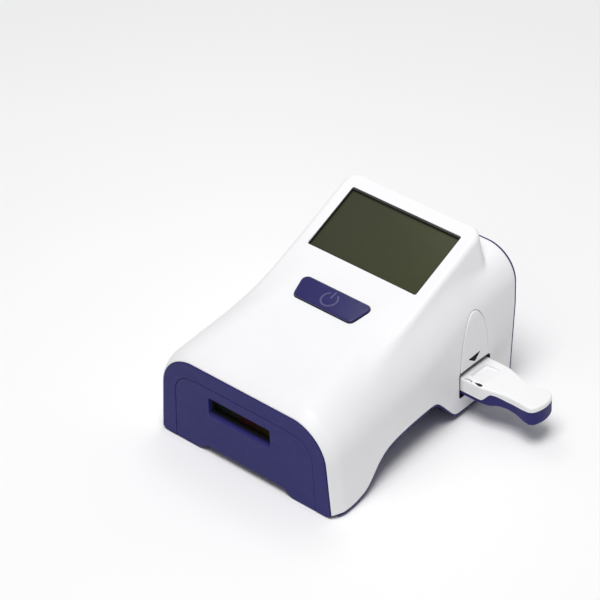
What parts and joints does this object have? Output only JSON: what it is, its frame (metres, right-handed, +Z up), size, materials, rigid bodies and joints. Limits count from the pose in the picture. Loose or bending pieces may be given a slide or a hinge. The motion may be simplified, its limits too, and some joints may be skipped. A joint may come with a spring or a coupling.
{
  "type": "rapid test reader",
  "caption": "Bench-top reader for rapid test devices: sloping white housing with tilted display hood, power key, side slot with a test device, and a pull-out scanning module at the front.",
  "frame": {"origin": "bottom centre of the bounding box, with the test device in its slot and the feet on the table", "axes": "+X towards the side slot and the test device, +Y to the back, +Z up"},
  "size_m": [0.1557, 0.1406, 0.0905],
  "materials": {
    "white_shell": "satin moulded",
    "violet_plastic": "satin moulded",
    "display_front": "smooth, unlit display",
    "black_plastic": "matt moulded",
    "foot_rubber": "matt",
    "circuit_board": "solder mask",
    "steel": "plated",
    "dark_glass": "polished, dark red-brown",
    "device_white": "satin moulded",
    "battery_wrap": "shrink wrap",
    "strip": "absorbent membrane",
    "amber": "film"
  },
  "bodies": {
    "housing": {"cover": "white_shell", "base": "violet_plastic", "foot_front_left": "foot_rubber", "foot_front_right": "foot_rubber", "foot_rear_left": "foot_rubber", "foot_rear_right": "foot_rubber", "case_screw_1": "steel", "case_screw_2": "steel", "case_screw_3": "steel", "case_screw_4": "steel", "front_bezel": "violet_plastic", "module_bay": "black_plastic", "display_lens": "display_front", "display_frame": "black_plastic", "display_gasket": "black_plastic", "display_panel": "display_front", "display_board": "circuit_board", "display_ribbon": "amber", "key_board": "circuit_board", "key_switch": "black_plastic", "key_board_screw_1": "steel", "key_board_screw_2": "steel", "display_screw_1": "steel", "display_screw_2": "steel", "slot_bezel": "white_shell", "slot_liner": "black_plastic", "device_guide": "black_plastic", "guide_spring": "steel", "optics_housing": "black_plastic", "lens_barrel": "black_plastic", "image_sensor": "black_plastic", "sensor_board": "circuit_board", "light_left": "amber", "light_right": "amber", "battery_pack": "battery_wrap", "main_board": "circuit_board", "display_socket": "black_plastic", "riser_board": "circuit_board", "processor": "black_plastic", "buzzer": "black_plastic", "module_socket": "black_plastic", "board_screw_1": "steel", "board_screw_2": "steel", "board_screw_3": "steel", "board_screw_4": "steel", "rear_panel": "violet_plastic", "io_board": "circuit_board", "usb_socket": "steel", "power_socket": "black_plastic"},
    "power_key": {"power_key": "violet_plastic"},
    "switch_plunger": {"switch_plunger": "black_plastic"},
    "test_device": {"device_base": "violet_plastic", "device_cover": "device_white", "test_strip": "strip"},
    "scan_module": {"module_face": "violet_plastic", "module_case": "black_plastic", "scan_window": "dark_glass", "scan_engine": "black_plastic", "module_board": "circuit_board", "module_plug": "black_plastic"}
  },
  "joints": [
    {"name": "test_device_slide", "type": "slide", "parent": "housing", "child": "test_device", "axis": [1, 0, 0], "range_m": [0, 0.046]},
    {"name": "power_key_press", "type": "slide", "parent": "housing", "child": "power_key", "axis": [0, 0.2027, -0.9792], "range_m": [0, 0.0008], "stiffness_N_per_m": 600, "springref_m": -0.0005},
    {"name": "switch_plunger_press", "type": "slide", "parent": "housing", "child": "switch_plunger", "axis": [0, 0.2027, -0.9792], "range_m": [0, 0.001]},
    {"name": "scan_module_slide", "type": "slide", "parent": "housing", "child": "scan_module", "axis": [0, -1, 0], "range_m": [0, 0.052]}
  ],
  "couplings": [
    {"joint": "switch_plunger_press", "follows": "power_key_press", "ratio": 1}
  ]
}
